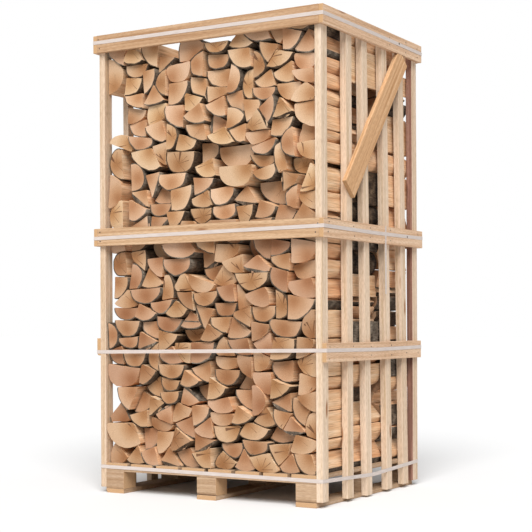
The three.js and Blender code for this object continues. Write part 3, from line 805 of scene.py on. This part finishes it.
def hang(strap, node, half_width, half_depth):
    """Lifts a level band to the heights of the CAD strap at its corners and halfway along the sides."""
    points = [vertex.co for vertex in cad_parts[node].data.vertices]
    corners = [point for point in points if abs(point.y) > half_depth - 2 * STRAP_THICKNESS]
    left = lowest([point for point in corners if point.x < -half_width + 2 * STRAP_THICKNESS])
    right = lowest([point for point in corners if point.x > half_width - 2 * STRAP_THICKNESS])
    sides = [point for point in points if abs(point.x) > half_width / 2]
    halfway = lowest([point for point in sides if abs(point.y) < TOUCHING])
    for vertex in strap.verts:
        level = (left + right) / 2 + (right - left) / 2 * vertex.co.x / half_width
        sag = (halfway - level) * max(0.0, 1 - abs(vertex.co.y) / half_depth)
        on_side = abs(vertex.co.x) > half_width - 2 * STRAP_THICKNESS
        vertex.co.z += level + sag if on_side else level


def add_tail(strap):
    """The free end of a strap, folded down over the rail on the right."""
    height = STRAP_TAIL["top"] - STRAP_TAIL["bottom"]
    place = Vector((cad_high.x - STRAP_THICKNESS / 2, STRAP_TAIL["y"], STRAP_TAIL["bottom"] + height / 2))
    size = Matrix.Diagonal((STRAP_THICKNESS, STRAP_TAIL["width"], height, 1))
    bmesh.ops.create_cube(strap, size=1, matrix=Matrix.Translation(place) @ size)


def add_straps():
    """Bands round the crate, a little out of level."""
    for node in [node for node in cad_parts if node.startswith("strap_")]:
        low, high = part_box(node)
        half_width, half_depth = -low.x, high.y
        strap = level_band(half_width, half_depth)
        hang(strap, node, half_width, half_depth)
        if node == "strap_middle":
            add_tail(strap)
        grain = strap.loops.layers.uv.new("grain")
        for face in strap.faces:
            runs_deep = abs(face.normal.x) > abs(face.normal.y)
            for loop in face.loops:
                place = loop.vert.co
                loop[grain].uv = (place.z, place.y if runs_deep else place.x)
        finish_piece(node.replace("_", "-") + "-woven", strap, (STRAPPING,), [node])


# Nails
def add_nail(nails, place, out, radius):
    """A nail head on a face that looks along a direction."""
    turn = Vector(out).to_track_quat("Z", "Y").to_matrix().to_4x4()
    bmesh.ops.create_cone(
        nails, cap_ends=True, segments=NAIL_SIDES, radius1=radius, radius2=radius * NAIL_TAPER,
        depth=NAIL_HEIGHT, matrix=Matrix.Translation(place) @ turn,
    )


def nail_pair(nails, rail, upright, luck):
    """Two nail heads, one above the other, where a rail crosses a post or a slat."""
    low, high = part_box(rail)
    near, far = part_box(upright)
    across, outward = (1, 0) if rail.endswith(("left", "right")) else (0, 1)
    out = Vector()
    out[outward] = math.copysign(1, low[outward])
    for level in NAIL_LEVELS:
        place = (near + far) / 2
        place[across] += luck.uniform(-NAIL_SCATTER, NAIL_SCATTER)
        place[outward] = high[outward] if low[outward] > 0 else low[outward]
        share = level + luck.uniform(-LEVEL_SCATTER, LEVEL_SCATTER)
        place.z = low.z + (high.z - low.z) * share
        add_nail(nails, place, out, NAIL_RADIUS)


def add_nails():
    """Nail heads where the rails cross the posts and slats, and two through straps on the right."""
    nails = bmesh.new()
    luck = random.Random("nails")
    for rail in [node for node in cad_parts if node.startswith("rail_")]:
        side = rail.rsplit("_", 1)[1]
        starts = ("post_", "slat_") if side in ("left", "right") else ("post_",)
        for upright in [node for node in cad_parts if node.startswith(starts) and side in node]:
            nail_pair(nails, rail, upright, luck)
    for place in STRAP_NAILS:
        add_nail(nails, Vector(place) * MM, (1, 0, 0), STRAP_NAIL_RADIUS)
    finish_piece("nail-heads", nails, (NAIL,), [])


# Studio
def add_floor():
    """A wide pale floor."""
    plane = bmesh.new()
    bmesh.ops.create_grid(plane, x_segments=1, y_segments=1, size=FLOOR_SIZE)
    mesh = bpy.data.meshes.new("floor")
    plane.to_mesh(mesh)
    plane.free()
    material, tree = new_material("pale_studio_floor", roughness=0.9, specular=0.1)
    tree.nodes["Principled BSDF"].inputs["Base Color"].default_value = linear("#E8E8E8")
    mesh.materials.append(material)
    floor = bpy.data.objects.new("floor", mesh)
    bpy.context.scene.collection.objects.link(floor)


def add_surroundings():
    """White all round, which lights the crate less than it shows behind it."""
    world = bpy.data.worlds.new("white studio")
    world.use_nodes = True
    tree = world.node_tree
    seen = add(tree, "Background", {"Color": WHITE, "Strength": 1.0})
    glow = add(tree, "Background", {"Color": WHITE, "Strength": AMBIENT})
    is_seen = add(tree, "LightPath", {}, "Is Camera Ray")
    both = add(tree, "MixShader", {0: is_seen, 1: glow, 2: seen})
    tree.links.new(both, tree.nodes["World Output"].inputs["Surface"])
    bpy.context.scene.world = world
    bpy.context.scene.view_settings.view_transform = "Standard"


def add_key_light():
    """A broad soft light from the front, to the right and above."""
    key = bpy.data.lights.new("key", "SUN")
    key.energy = KEY_STRENGTH
    key.angle = KEY_SPREAD
    lamp = bpy.data.objects.new("key", key)
    lamp.rotation_euler = Vector(KEY_DIRECTION).to_track_quat("-Z", "Y").to_euler()
    bpy.context.scene.collection.objects.link(lamp)


def add_camera():
    """The camera that the photograph was taken with."""
    lens = bpy.data.cameras.new("camera")
    lens.lens = CAMERA_LENS
    lens.sensor_width = CAMERA_SENSOR
    lens.shift_y = CAMERA_SHIFT
    camera = bpy.data.objects.new("camera", lens)
    camera.location = CAMERA_PLACE
    camera.rotation_euler = CAMERA_TURN
    bpy.context.scene.collection.objects.link(camera)
    bpy.context.scene.camera = camera


add_boards()
add_firewood()
add_straps()
add_nails()
add_floor()
add_surroundings()
add_key_light()
add_camera()
